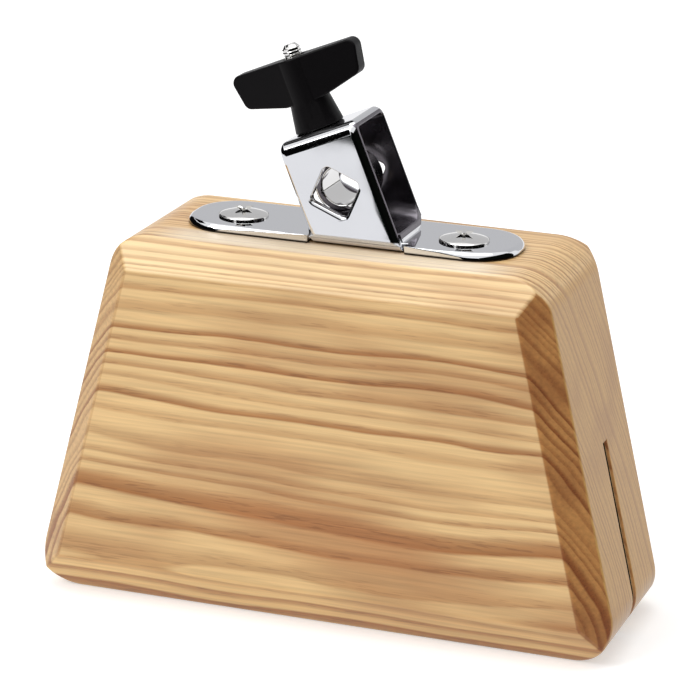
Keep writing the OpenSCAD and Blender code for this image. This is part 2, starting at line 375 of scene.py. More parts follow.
    def finished(self, tree: Tree, at: Socket, normal: Socket, colour: Socket) -> Socket:
        """Paints light and shade into each side's colour, by the way that it faces.

        The right bevels get painted shade, the left ones a greyer painted sheen, and the top and
        foot bevels painted light. The ends take more lacquer, and their darker tint is end grain
        and painted shade. A painted highlight pales the level top in front of the plate, and
        painted shade darkens the walls of the kerf.

        Args:
            tree: The material's tree.
            at: The place on the block.
            normal: The way that the surface faces.
            colour: The colour of the wood.

        Returns:
            The colour, with its painted light and shade.
        """
        facing = add(tree, "ShaderNodeSeparateXYZ", {0: normal}).outputs
        spot = add(tree, "ShaderNodeSeparateXYZ", {0: at}).outputs
        across, ended, beside, depth = (
            add(tree, "ShaderNodeMath", {0: part}, operation="ABSOLUTE").outputs[0]
            for part in (facing["Y"], facing["X"], spot["X"], spot["Y"]))
        slope, pitch = (
            add(tree, "ShaderNodeMath", {0: part, 1: across}, operation="MULTIPLY").outputs[0]
            for part in (facing["X"], facing["Z"]))
        # Masks by facing for the painted light and shade on the bevels, and for the painted
        # highlight in front of the plate.
        shaded_right_bevel, sheened_left_bevel, highlit_top_bevel, lit_foot_bevel, ended, level, highlit_front, beside = (
            add(tree, "ShaderNodeMapRange", {0: part, 1: start, 2: end},
                interpolation_type="SMOOTHSTEP").outputs[0]
            for part, (start, end) in (
                (slope, self.right_bevel_shade_facing), (slope, self.left_bevel_sheen_facing), (pitch, self.top_bevel_highlight_facing),
                (pitch, self.foot_bevel_light_facing), (ended, self.end_facing),
                (facing["Z"], self.highlight_level_facing), (spot["Y"], self.highlight_margin),
                (beside, self.highlight_margin_end)))
        calmer = add(tree, "ShaderNodeMath", {0: ended, 1: self.end_calm},
                     operation="MULTIPLY").outputs[0]
        colour = add(tree, "ShaderNodeMix", {0: calmer, 6: colour, 7: linear(self.end_mean)},
                     data_type="RGBA").outputs[2]
        # Painted light and shade on the bevels, and the ends' tint, which is end grain and painted
        # shade.
        tint: Any = (1.0, 1.0, 1.0, 1.0)
        for share, shade in ((shaded_right_bevel, self.right_bevel_painted_shade), (sheened_left_bevel, self.left_bevel_painted_sheen),
                             (highlit_top_bevel, self.top_bevel_painted_highlight), (lit_foot_bevel, self.foot_bevel_painted_light),
                             (ended, self.end_grain_and_shade_tint)):
            tint = add(tree, "ShaderNodeMix", {0: share, 6: tint, 7: shade},
                       data_type="RGBA").outputs[2]
        colour = add(tree, "ShaderNodeVectorMath", {0: colour, 1: tint},
                     operation="MULTIPLY").outputs[0]
        # A painted highlight pales the level top in front of the plate.
        for factor in (level, beside, self.highlight_most):
            highlit_front = add(tree, "ShaderNodeMath", {0: highlit_front, 1: factor},
                          operation="MULTIPLY").outputs[0]
        colour = add(tree, "ShaderNodeMix", {0: highlit_front, 6: colour, 7: linear(self.painted_highlight)},
                     data_type="RGBA").outputs[2]
        # Painted shade darkens the walls of the kerf.
        shaded_kerf = add(tree, "ShaderNodeMath", {0: depth, 1: self.kerf_half},
                   operation="LESS_THAN").outputs[0]
        wall = add(tree, "ShaderNodeMath", {0: across, 1: self.wall_facing},
                   operation="GREATER_THAN").outputs[0]
        shaded_kerf = add(tree, "ShaderNodeMath", {0: shaded_kerf, 1: wall}, operation="MULTIPLY").outputs[0]
        return add(tree, "ShaderNodeMix", {0: shaded_kerf, 6: colour, 7: linear(self.kerf_painted_shade)},
                   data_type="RGBA").outputs[2]

    def make(self) -> bpy.types.Material:
        """Builds the material.

        Returns:
            The lacquered wood.
        """
        material, tree, shader = new_surface("lacquered_ash", {
            "Roughness": 0.42, "IOR": 1.5, "Coat Weight": 0.25, "Coat Roughness": 0.22})
        at, normal = millimetres(tree)
        bent = self.swayed(tree, at)
        line = self.early_lines(tree, bent)
        colour = add(tree, "ShaderNodeMix", {0: line, 6: linear(self.pale), 7: linear(self.early)},
                     data_type="RGBA").outputs[2]
        colour = self.clouded(tree, at, bent, colour)
        colour, relief = self.fibrous(tree, at, line, colour)
        tree.links.new(self.finished(tree, at, normal, colour), shader.inputs["Base Color"])
        bump = add(tree, "ShaderNodeBump", {"Strength": 0.12, "Distance": 0.08 * MM,
                                            "Height": relief})
        tree.links.new(bump.outputs[0], shader.inputs["Normal"])
        return material


@dataclass(frozen=True)
class ChromePlate:
    """Bright chromium over polished nickel on pressed steel: a cool, nearly perfect mirror.

    The inside of the loop is painted darker, as painted shade, and it is duller; the sheet is
    hazy where it was strained by its tightest bend, at the foot of the front wall. Its lower
    edge, where it lies on the wood, is painted dark: a painted contact shadow.
    """

    bright: str = "#e2e3e6"
    # The inside of the loop is painted darker: painted shade.
    inside: str = "#757177"
    # A painted contact shadow along the plate's lower edge, where it lies on the wood.
    contact_shade: str = "#2e2926"
    contact_shade_top: Pair = (101.75, 101.45)
    loop_middle: float = -2.05
    inner_half: float = 10.35
    inner_floor: float = 104.0
    inner_top: float = 14.9
    inner_dull: float = 0.2
    rod: Triple = ROD
    lean: float = LEAN
    haze_rate: float = 0.12
    haze: Pair = (0.03, 0.075)
    root_middle: Triple = (4.0, -13.5, 101.5)
    root_reach: Triple = (14.0, 2.6, 2.4)
    root_fade: Pair = (1.0, 0.8)
    root_dull: float = 0.5

    def inner(self, tree: Tree, at: Socket) -> Socket:
        """Marks the inside of the loop.

        Args:
            tree: The material's tree.
            at: The place on the bracket.

        Returns:
            1 inside the loop and 0 elsewhere.
        """
        spot = add(tree, "ShaderNodeSeparateXYZ", {0: at}).outputs
        depth = add(tree, "ShaderNodeMath", {0: spot["Y"], 1: self.loop_middle},
                    operation="SUBTRACT").outputs[0]
        depth = add(tree, "ShaderNodeMath", {0: depth}, operation="ABSOLUTE").outputs[0]
        angle = math.radians(self.lean)
        along = (-math.sin(angle), 0.0, math.cos(angle))
        rise = add(tree, "ShaderNodeVectorMath", {0: at, 1: along},
                   operation="DOT_PRODUCT").outputs["Value"]
        ceiling = Vector(self.rod).dot(Vector(along)) + self.inner_top
        within, above, below = (
            add(tree, "ShaderNodeMath", {0: part, 1: limit}, operation=test).outputs[0]
            for part, limit, test in ((depth, self.inner_half, "LESS_THAN"),
                                      (spot["Z"], self.inner_floor, "GREATER_THAN"),
                                      (rise, ceiling, "LESS_THAN")))
        inner = add(tree, "ShaderNodeMath", {0: within, 1: above}, operation="MULTIPLY").outputs[0]
        return add(tree, "ShaderNodeMath", {0: inner, 1: below}, operation="MULTIPLY").outputs[0]

    def strained(self, tree: Tree, at: Socket) -> Socket:
        """Finds how much duller the tightest bend is.

        Args:
            tree: The material's tree.
            at: The place on the bracket.

        Returns:
            The roughness that the strain adds.
        """
        offset = add(tree, "ShaderNodeVectorMath", {0: at, 1: self.root_middle},
                     operation="SUBTRACT").outputs[0]
        offset = add(tree, "ShaderNodeVectorMath", {0: offset, 1: self.root_reach},
                     operation="DIVIDE").outputs[0]
        offset = add(tree, "ShaderNodeVectorMath", {0: offset}, operation="ABSOLUTE").outputs[0]
        parts = add(tree, "ShaderNodeSeparateXYZ", {0: offset}).outputs
        widest = add(tree, "ShaderNodeMath", {0: parts["X"], 1: parts["Z"]},
                     operation="MAXIMUM").outputs[0]
        widest = add(tree, "ShaderNodeMath", {0: widest, 1: parts["Y"]},
                     operation="MAXIMUM").outputs[0]
        return add(tree, "ShaderNodeMapRange", {
            0: widest, 1: self.root_fade[0], 2: self.root_fade[1], 3: 0.0,
            4: self.root_dull}).outputs[0]

    def make(self) -> bpy.types.Material:
        """Builds the material.

        Returns:
            The chromed sheet.
        """
        material, tree, shader = new_surface("chromed_sheet", {"Metallic": 1.0})
        at, _ = millimetres(tree)
        inner = self.inner(tree, at)
        # Painted shade inside the loop.
        colour = add(tree, "ShaderNodeMix", {0: inner, 6: linear(self.bright),
                                             7: linear(self.inside)}, data_type="RGBA").outputs[2]
        # The plate's lowest edge is painted dark: a painted contact shadow.
        height = add(tree, "ShaderNodeSeparateXYZ", {0: at}).outputs["Z"]
        contact_shade = add(tree, "ShaderNodeMapRange", {0: height, 1: self.contact_shade_top[0],
                                                2: self.contact_shade_top[1]}).outputs[0]
        colour = add(tree, "ShaderNodeMix", {0: contact_shade, 6: colour, 7: linear(self.contact_shade)},
                     data_type="RGBA").outputs[2]
        tree.links.new(colour, shader.inputs["Base Color"])
        haze = add(tree, "ShaderNodeTexNoise", {"Vector": at, "Scale": self.haze_rate,
                                                "Detail": 2.0}).outputs["Fac"]
        haze = add(tree, "ShaderNodeMapRange", {0: haze, 1: NOISE[0], 2: NOISE[1],
                                                3: self.haze[0], 4: self.haze[1]}).outputs[0]
        rough = add(tree, "ShaderNodeMath", {0: inner, 1: self.inner_dull, 2: haze},
                    operation="MULTIPLY_ADD").outputs[0]
        rough = add(tree, "ShaderNodeMath", {0: rough, 1: self.strained(tree, at)}).outputs[0]
        tree.links.new(rough, shader.inputs["Roughness"])
        return material


@dataclass(frozen=True)
class PlatedSteel:
    """Nickel-plated steel of a turned bolt or a pressed screw: bright, a little warmer.

    Handling wears it in patches of about a millimetre, from the least roughness to the most.
    """

    name: str
    colour: str = "#e4e3e1"
    least: float = 0.05
    most: float = 0.12
    wear_rate: float = 0.9

    def make(self) -> bpy.types.Material:
        """Builds the material.

        Returns:
            The plated steel.
        """
        material, tree, shader = new_surface(self.name, {
            "Base Color": linear(self.colour), "Metallic": 1.0})
        at, _ = millimetres(tree)
        wear = add(tree, "ShaderNodeTexNoise", {"Vector": at, "Scale": self.wear_rate,
                                                "Detail": 3.0}).outputs["Fac"]
        wear = add(tree, "ShaderNodeMapRange", {0: wear, 1: NOISE[0], 2: NOISE[1],
                                                3: self.least, 4: self.most}).outputs[0]
        tree.links.new(wear, shader.inputs["Roughness"])
        return material


@dataclass(frozen=True)
class MouldedPlastic:
    """Glass-filled black nylon, moulded with a fine matt grain: nearly black, with a soft sheen.

    The mould's real grain is about 0.1 mm. It is drawn at 0.45 mm, so that it shows.
    """

    colour: str = "#0b090b"
    grain_rate: float = 2.2
    sheen: Pair = (0.36, 0.46)

    def make(self) -> bpy.types.Material:
        """Builds the material.

        Returns:
            The black plastic.
        """
        material, tree, shader = new_surface("moulded_black_plastic", {
            "Base Color": linear(self.colour), "IOR": 1.5, "Specular IOR Level": 0.12})
        at, _ = millimetres(tree)
        grain = add(tree, "ShaderNodeTexNoise", {"Vector": at, "Scale": self.grain_rate,
                                                 "Detail": 2.0}).outputs["Fac"]
        rough = add(tree, "ShaderNodeMapRange", {0: grain, 1: NOISE[0], 2: NOISE[1],
                                                 3: self.sheen[0], 4: self.sheen[1]}).outputs[0]
        tree.links.new(rough, shader.inputs["Roughness"])
        bump = add(tree, "ShaderNodeBump", {"Strength": 0.1, "Distance": 0.04 * MM,
                                            "Height": grain})
        tree.links.new(bump.outputs[0], shader.inputs["Normal"])
        return material


def linked(name: str, data: bpy.types.ID) -> bpy.types.Object:
    """Makes an object and adds it to the scene.

    Args:
        name: The object's name.
        data: Its mesh, camera or light.

    Returns:
        The object.
    """
    made = bpy.data.objects.new(name, data)
    bpy.context.scene.collection.objects.link(made)
    return made


def evaluated(piece: bpy.types.Object) -> bpy.types.Mesh:
    """Works out what a piece's modifiers make.

    Args:
        piece: The piece, with its modifiers live.

    Returns:
        The result as a plain mesh.
    """
    bpy.context.view_layer.update()
    graph = bpy.context.evaluated_depsgraph_get()
    return bpy.data.meshes.new_from_object(piece.evaluated_get(graph))


def merged_copy(node: str) -> bmesh.types.BMesh:
    """Copies a node's mesh and joins its loose triangles into clean faces.

    Args:
        node: The node's name.

    Returns:
        The joined mesh.
    """
    mesh = bmesh.new()
    mesh.from_mesh(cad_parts[node].data)
    bmesh.ops.remove_doubles(mesh, verts=mesh.verts[:], dist=WELD * MM)
    bmesh.ops.dissolve_limit(mesh, angle_limit=math.radians(FLAT), verts=mesh.verts[:],
                             edges=mesh.edges[:])
    return mesh


def round_edges(mesh: bmesh.types.BMesh, radius: float, steps: int, sharper: float) -> None:
    """Rounds the mesh's outward edges.

    Args:
        mesh: The mesh to change.
        radius: Width of the rounding, in millimetres.
        steps: Faces across each rounding.
        sharper: Only edges that turn by more than this many degrees are rounded.
    """
    edges = [edge for edge in mesh.edges if len(edge.link_faces) == 2
             and edge.calc_face_angle_signed(0.0) > math.radians(sharper)]
    bevelled(mesh, edges, radius, steps)


def bevelled(mesh: bmesh.types.BMesh, edges: list[bmesh.types.BMEdge], radius: float,
             steps: int) -> None:
    """Rounds the given edges.

    Args:
        mesh: The mesh to change.
        edges: The edges to round.
        radius: Width of the rounding, in millimetres.
        steps: Faces across each rounding.
    """
    bmesh.ops.bevel(mesh, geom=edges, offset=radius * MM, offset_type="OFFSET", segments=steps,
                    profile=0.5, affect="EDGES", clamp_overlap=False, loop_slide=True)


def carved(mesh: bmesh.types.BMesh, cutter: bmesh.types.BMesh) -> bmesh.types.BMesh:
    """Cuts one closed mesh out of another.

    Args:
        mesh: The mesh that is cut, which is freed.
        cutter: The mesh that cuts it, which is freed.

    Returns:
        What is left.
    """
    pieces = []
    for name, source in (("stock", mesh), ("cutter", cutter)):
        data = bpy.data.meshes.new(name)
        source.to_mesh(data)
        source.free()
        pieces.append(linked(name, data))
    cut = pieces[0].modifiers.new("cut", "BOOLEAN")
    cut.operation, cut.solver, cut.object = "DIFFERENCE", "EXACT", pieces[1]
    left = bmesh.new()
    left.from_mesh(evaluated(pieces[0]))
    pieces[0].modifiers.clear()
    for piece in pieces:
        bpy.data.objects.remove(piece)
    return left


def finish_piece(mesh: bmesh.types.BMesh, name: str, material: bpy.types.Material, body: Body,
                 node: str, crease: float = 32.0) -> None:
    """Turns a mesh into a shaded piece that stands for its node and rides on its body.

    Args:
        mesh: The finished mesh, which is freed.
        name: The piece's name.
        material: Its finish.
        body: The body that it rides on.
        node: The node that it stands for.
        crease: Edges that turn by more than this many degrees stay sharp.
    """
    data = bpy.data.meshes.new(name)
    mesh.to_mesh(data)
    mesh.free()
    data.materials.append(material)
    data.shade_smooth()
    data.set_sharp_from_angle(angle=math.radians(crease))
    piece = linked(name, data)
    weighted = piece.modifiers.new("flat_faces_stay_flat", "WEIGHTED_NORMAL")
    weighted.mode, weighted.keep_sharp = "FACE_AREA", True
    plain = evaluated(piece)
    piece.modifiers.clear()
    piece.data = plain
    plain.name = name
    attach(piece, body.value)
    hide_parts(node)
    LOG.info("%s: %d faces on %s", name, len(plain.polygons), body.value)


def turned(outline: list[Pair], steps: int) -> bmesh.types.BMesh:
    """Turns a closed outline about the Z axis, as a lathe does.

    Args:
        outline: Radius and height of each point, in millimetres, in order round the section.
        steps: How many faces go round.

    Returns:
        The turned ring or solid, with points on the axis joined.
    """
    mesh = bmesh.new()
    rings = []
    for step in range(steps):
        angle = 2 * math.pi * step / steps
        rings.append([mesh.verts.new((r * math.cos(angle) * MM, r * math.sin(angle) * MM, h * MM))
                      for r, h in outline])
    for step, ring in enumerate(rings):
        following = rings[(step + 1) % steps]
        for i in range(len(outline)):
            j = (i + 1) % len(outline)
            if outline[i][0] <= 0 and outline[j][0] <= 0:
                continue
            mesh.faces.new((ring[i], ring[j], following[j], following[i]))
    bmesh.ops.remove_doubles(mesh, verts=mesh.verts[:], dist=WELD * MM)
    bmesh.ops.dissolve_degenerate(mesh, edges=mesh.edges[:], dist=WELD * MM)
    bmesh.ops.recalc_face_normals(mesh, faces=mesh.faces[:])
    return mesh


def thread_tree(material: bpy.types.Material) -> Tree:
    """Makes the Geometry Nodes tree that winds a screw thread.

    Args:
        material: The finish of the thread.

    Returns:
        The tree, with its sizes as inputs.
    """
    tree = bpy.data.node_groups.new("screw_thread", "GeometryNodeTree")
    for name in ("Radius", "Pitch", "Turns", "Ridge"):
        tree.interface.new_socket(name, in_out="INPUT", socket_type="NodeSocketFloat")
    tree.interface.new_socket("Geometry", in_out="OUTPUT", socket_type="NodeSocketGeometry")
    sizes = add(tree, "NodeGroupInput")
    height = add(tree, "ShaderNodeMath", {0: sizes.outputs["Pitch"], 1: sizes.outputs["Turns"]},
                 operation="MULTIPLY").outputs[0]
    path = add(tree, "GeometryNodeCurveSpiral", {
        "Resolution": 40, "Rotations": sizes.outputs["Turns"],
        "Start Radius": sizes.outputs["Radius"], "End Radius": sizes.outputs["Radius"],
        "Height": height}).outputs[0]
    profile = add(tree, "GeometryNodeCurvePrimitiveCircle", {
        "Resolution": 6, "Radius": sizes.outputs["Ridge"]}).outputs[0]
    ridge = add(tree, "GeometryNodeCurveToMesh", {
        "Curve": path, "Profile Curve": profile, "Fill Caps": True}).outputs[0]
    whole = add(tree, "GeometryNodeRealizeInstances", {0: ridge}).outputs[0]
    dressed = add(tree, "GeometryNodeSetMaterial", {"Geometry": whole, "Material": material})
    add(tree, "NodeGroupOutput", {"Geometry": dressed.outputs[0]})
    return tree


def wound(tree: Tree, sizes: dict[str, float]) -> bpy.types.Mesh:
    """Runs a Geometry Nodes tree and returns its result as a plain mesh.

    Args:
        tree: The tree.
        sizes: A value for each named input.

    Returns:
        The mesh that the tree makes.
    """
    carrier = linked("carrier", bpy.data.meshes.new("carrier"))
    modifier = carrier.modifiers.new("winder", "NODES")
    modifier.node_group = tree
    for item in tree.interface.items_tree:
        if item.item_type == "SOCKET" and item.in_out == "INPUT" and item.name in sizes:
            modifier[item.identifier] = sizes[item.name]
    result = evaluated(carrier)
    carrier.modifiers.remove(modifier)
    bpy.data.objects.remove(carrier)
    return result


@dataclass
class AshBlock:
    """The block itself, with its sanded edges."""

    edge: float = 0.8
    steps: int = 3
    sharper: float = 20.0

    def build(self) -> None:
        """Rounds the block's edges and dresses it."""
        mesh = merged_copy("block")
        round_edges(mesh, self.edge, self.steps, self.sharper)
        finish_piece(mesh, "ash_block", LacqueredAsh().make(), Body.BLOCK, "block")


@dataclass
class RodClamp:
    """The folded bracket and the two screws that hold it down.

    The stamping die leaves the strip's outer edges pillowed and its inner edges crisp. The lower
    sides of the front hole are rolled inwards, where the rod goes in.
    """

    rod: Triple = ROD
    lean: float = LEAN
    strip_middle: float = 0.2
    strip_half: float = 11.35
    loop_half: float = 11.45
    loop_rise: float = 16.0
    bend: float = 3.5
    heel: float = 4.4
    sheet: float = 2.2
    pillow: float = 1.9
    rim_radius: float = 1.8
    hole_clear: float = 4.0
    root_clear: float = 19.0
    hole_reach: float = 9.0
    hole_roll: float = 1.1
    edge: float = 0.35
    sharper: float = 40.0
    steps: int = 4
    screw_x: float = 30.5
    seat: float = 103.2
    head: float = 1.7
    head_edge: float = 0.45
    recess_arm: float = 2.6
    recess_width: float = 0.9
    recess_top: Triple = (1.0, 1.9, 1.2)
    recess_foot: Triple = (-0.6, 0.25, 0.25)
    recess_turns: Pair = (25.0, 14.0)
    side_facing: float = 0.99
    up_facing: float = 0.3
    wall_facing: float = 0.1

    def axes(self) -> tuple[Vector, Vector]:
        """Returns the leaning strip's own directions, across it and along it."""
        angle = math.radians(self.lean)
        return (Vector((math.cos(angle), 0, math.sin(angle))),
                Vector((-math.sin(angle), 0, math.cos(angle))))

    def pillowed(self, edge: bmesh.types.BMEdge) -> bool:
        """Tells whether an edge runs along the strip's outside.

        Args:
            edge: An edge of the bracket.

        Returns:
            True for the long outer edges of the loop, above its lower bends.
        """
        across, along = self.axes()
        sides = []
        for vert in edge.verts:
            rel = vert.co / MM - Vector(self.rod)
            side, depth, rise = rel.dot(across) - self.strip_middle, abs(rel.y), rel.dot(along)
            high = rise - (self.loop_rise - self.bend)
            deep = depth - (self.loop_half - self.bend)
            shell = math.hypot(high, deep) if high > 0 and deep > 0 else max(high, deep)
            if abs(abs(side) - self.strip_half) > 2 * NEAR:
                return False
            if shell < self.bend - self.sheet / 2:
                return False
            if vert.co.z / MM < self.seat:
                return False
            sides.append(side)
        return sides[0] * sides[1] > 0

    def quartered(self, mesh: bmesh.types.BMesh) -> None:
        """Parts the loop's side faces where its bends start, so that each part is plain.

        Args:
            mesh: The bracket.
        """
        across, along = self.axes()
        middle = Vector(self.rod)
        heel = self.heel + self.sheet
        for point, normal in (
                (middle + along * (self.loop_rise - self.bend), along),
                (middle + Vector((0, self.bend - self.loop_half, 0)), Vector((0, 1, 0))),
                (middle + Vector((0, self.loop_half - self.bend, 0)), Vector((0, 1, 0))),
                (middle + Vector((0, self.loop_half - heel, 0)), Vector((0, 1, 0))),
                (Vector((0, 0, self.seat + heel)), Vector((0, 0, 1))),
                (Vector((0, 0, self.seat + self.sheet)), Vector((0, 0, 1)))):
            sides = [face for face in mesh.faces
                     if abs(face.normal.dot(across)) > self.side_facing
                     and face.calc_center_bounds().z / MM > self.seat]
            edges = dict.fromkeys(edge for face in sides for edge in face.edges)
            verts = dict.fromkeys(vert for face in sides for vert in face.verts)
            bmesh.ops.bisect_plane(mesh, geom=[*verts, *edges, *sides], dist=NEAR * MM,
                                   plane_co=point * MM, plane_no=normal)

    def rim(self, edge: bmesh.types.BMEdge) -> bool:
        """Tells whether an edge runs along the upper rim of the plate.

        Args:
            edge: An edge of the bracket.

        Returns:
            True for the plate's upper outline, away from the screws' holes.
        """
        for vert in edge.verts:
            x, y, z = vert.co / MM
            near = min(math.hypot(x - side * self.screw_x, y - self.rod[1]) for side in (-1, 1))
            if abs(z - self.seat) > NEAR or near < self.hole_clear or abs(x) < self.root_clear:
                return False
        return edge.calc_face_angle_signed(0.0) > 1

    def rolled(self, edge: bmesh.types.BMEdge) -> bool:
        """Tells whether an edge runs along the lower sides of the front wall's hole.

        Args:
            edge: An edge of the bracket.

        Returns:
            True for an outer edge of the hole whose wall faces up.
        """
        front = self.rod[1] - self.loop_half
        for vert in edge.verts:
            rel = vert.co / MM - Vector(self.rod)
            if abs(vert.co.y / MM - front) > NEAR or math.hypot(rel.x, rel.z) > self.hole_reach:
                return False
        return any(face.normal.z > self.up_facing and abs(face.normal.y) < self.wall_facing
                   for face in edge.link_faces)

    def build(self) -> None:
        """Makes the bracket and its screws."""
        mesh = merged_copy("clamp_bracket")
        self.quartered(mesh)
        for chosen, radius, steps in ((self.pillowed, self.pillow, self.steps + 2),
                                      (self.rim, self.rim_radius, self.steps + 1),
                                      (self.rolled, self.hole_roll, self.steps + 1)):
            bevelled(mesh, [edge for edge in mesh.edges if chosen(edge)], radius, steps)
        round_edges(mesh, self.edge, self.steps, self.sharper)
        finish_piece(mesh, "folded_bracket", ChromePlate().make(), Body.BLOCK,
                     "clamp_bracket")
        steel = PlatedSteel("plated_screw").make()
        for side, node in ((-1, "left_screw"), (1, "right_screw")):
            self.screw(side, node, steel)

    def screw(self, side: int, node: str, steel: bpy.types.Material) -> None:
        """Rounds a screw's head and cuts the cross recess into its dome.

        Args:
            side: -1 for the left screw and 1 for the right one.
            node: The screw's node.
            steel: Its finish.
        """
        mesh = merged_copy(node)
        round_edges(mesh, self.head_edge, self.steps, self.sharper)
        top = self.seat + self.head
        turn = Matrix.Rotation(math.radians(self.recess_turns[side > 0]), 4, "Z")
        place = Matrix.Translation(Vector((side * self.screw_x, self.rod[1], top)) * MM)
        for quarter in (0, 90):
            arm = bmesh.new()
            bmesh.ops.create_cube(arm, size=1.0)
            for vert in arm.verts:
                # The arms run out in a slope, as the driver's tip does.
                height, length, width = self.recess_top if vert.co.z > 0 else self.recess_foot
                vert.co = (vert.co.x * self.recess_arm * length,
                           vert.co.y * self.recess_width * width, height)
            arm.transform(Matrix.Scale(MM, 4))
            arm.transform(place @ turn @ Matrix.Rotation(math.radians(quarter), 4, "Z"))
            mesh = carved(mesh, arm)
        finish_piece(mesh, f"{node}_domed", steel, Body.BLOCK, node)


@dataclass
class EyeBolt:
    """The bolt whose eye draws the rod up, with a real thread above its collar."""

    eye: Triple = ROD
    lean: float = LEAN
    lift: float = 0.5
    aside: float = 2.4
    collar_top: float = 8.65
    bolt: float = 5.0
    pitch: float = 0.8
    reach: float = 38.4
    chamfer: float = 1.0
    depth: float = 0.24
    ridge: float = 0.75
    edge: float = 0.4
    sharper: float = 50.0
    crease: float = 40.0
    steps: int = 3
    round_faces: int = 48

    def place(self) -> Matrix:
        """Returns the turn and move that stand the bolt's axis in its leaning place."""
        turn = Matrix.Rotation(-math.radians(self.lean), 4, "Y")
        return Matrix.Translation(Vector(self.eye) * MM) @ turn @ Matrix.Translation(
            Vector((-self.aside, 0, self.lift)) * MM)

    def build(self) -> None:
        """Keeps the eye and the collar, and gives the shank above them a thread."""
        steel = PlatedSteel("plated_bolt", "#e9e8e6", 0.04, 0.1).make()
        whole = merged_copy("eyebolt")
        whole.transform(self.place().inverted())
        bmesh.ops.bisect_plane(whole, geom=whole.verts[:] + whole.edges[:] + whole.faces[:],
                               plane_co=(0, 0, (self.collar_top + self.pitch) * MM),
                               plane_no=(0, 0, 1), clear_outer=True)
        bmesh.ops.holes_fill(whole, edges=[edge for edge in whole.edges if edge.is_boundary])
        round_edges(whole, self.edge, self.steps, self.sharper)
        start, tip = self.collar_top + self.pitch / 2, self.reach
        core = self.bolt / 2 - self.depth
        shank = turned([(0.0, start), (core, start), (core, tip - self.chamfer),
                        (self.bolt / 2 - self.chamfer, tip), (0.0, tip)], self.round_faces)
        data = bpy.data.meshes.new("shank")
        shank.to_mesh(data)
        shank.free()
        whole.from_mesh(data)
        first = self.collar_top + self.pitch * 1.5
        thread = wound(thread_tree(steel), {
            "Radius": (core + self.depth * (1 - self.ridge)) * MM, "Pitch": self.pitch * MM,
            "Turns": (tip - self.chamfer - first) / self.pitch,
            "Ridge": self.depth * self.ridge * MM})
        thread.transform(Matrix.Translation((0, 0, first * MM)))
        whole.from_mesh(thread)
        whole.transform(self.place())
        finish_piece(whole, "threaded_eyebolt", steel, Body.BOLT, "eyebolt",
                     self.crease)


@dataclass
class WingNut:
    """The black wing nut and the steel insert in its hub."""

    edge: float = 0.5
    steps: int = 3
    sharper: float = 30.0

    def build(self) -> None:
        """Rounds the nut's edges, and dresses it and its insert."""
        mesh = merged_copy("wing_nut")
        round_edges(mesh, self.edge, self.steps, self.sharper)
        finish_piece(mesh, "moulded_wing_nut", MouldedPlastic().make(), Body.NUT,
                     "wing_nut")
        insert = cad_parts["nut_insert"]
        insert.data.materials.clear()
        insert.data.materials.append(PlatedSteel("insert_steel", "#b4b2b0", 0.22, 0.34).make())


@dataclass(frozen=True)
class View:
    """The camera that took the photograph."""

    place: Triple = (0.2757, -0.7904, 0.3347)
    azimuth: float = 19.28
    elevation: float = 17.60
    roll: float = 1.18
    lens: float = 170.8
    sensor: float = 36.0
    clip: Pair = (0.01, 50.0)

    def build(self) -> None:
        """Makes the camera and hands it to the scene."""
        a, e, r = (math.radians(v) for v in (self.azimuth, self.elevation, self.roll))
        back = Vector((math.sin(a) * math.cos(e), -math.cos(a) * math.cos(e), math.sin(e)))
        right = Vector((math.cos(a), math.sin(a), 0.0))
        up = back.cross(right)
        side = right * math.cos(r) + up * math.sin(r)
        top = up * math.cos(r) - right * math.sin(r)
        data = bpy.data.cameras.new("camera")
        data.lens, data.sensor_width = self.lens, self.sensor
        data.clip_start, data.clip_end = self.clip
        camera = linked("camera", data)
        turn = Matrix((side, top, back)).transposed().to_4x4()
        camera.matrix_world = Matrix.Translation(self.place) @ turn
        bpy.context.scene.camera = camera


@dataclass(frozen=True)
class Flag:
    """A card that only mirrors see, as studios hang beside shiny things.

    The corners are in metres, in order round the card.
    """

    name: str
    tone: str
    corners: tuple[Triple, ...]

    def build(self) -> None:
        """Hangs the card."""
        data = bpy.data.meshes.new(self.name)
        data.from_pydata(self.corners, [], [range(len(self.corners))])
        material = bpy.data.materials.new(self.name)
        tree = blank_tree(material)
        glow = add(tree, "ShaderNodeEmission", {"Color": linear(self.tone), "Strength": 1.0})
        add(tree, "ShaderNodeOutputMaterial", {"Surface": glow.outputs[0]})
        data.materials.append(material)
        card = linked(self.name, data)
        card.visible_camera = card.visible_diffuse = False
        card.visible_transmission = card.visible_shadow = False


@dataclass(frozen=True)
class Lamp:
    """A soft square lamp that looks at the object."""

    name: str
    place: Triple
    size: float
    power: float
    target: Triple = (0.0, 0.0, 0.06)

    def build(self) -> None:
        """Makes the lamp."""
        data = bpy.data.lights.new(self.name, "AREA")
        data.shape, data.size, data.energy = "SQUARE", self.size, self.power
        lamp = linked(self.name, data)
        lamp.location = self.place
        lamp.rotation_mode = "QUATERNION"
        aim = Vector(self.target) - Vector(self.place)
        lamp.rotation_quaternion = aim.to_track_quat("-Z", "Y")


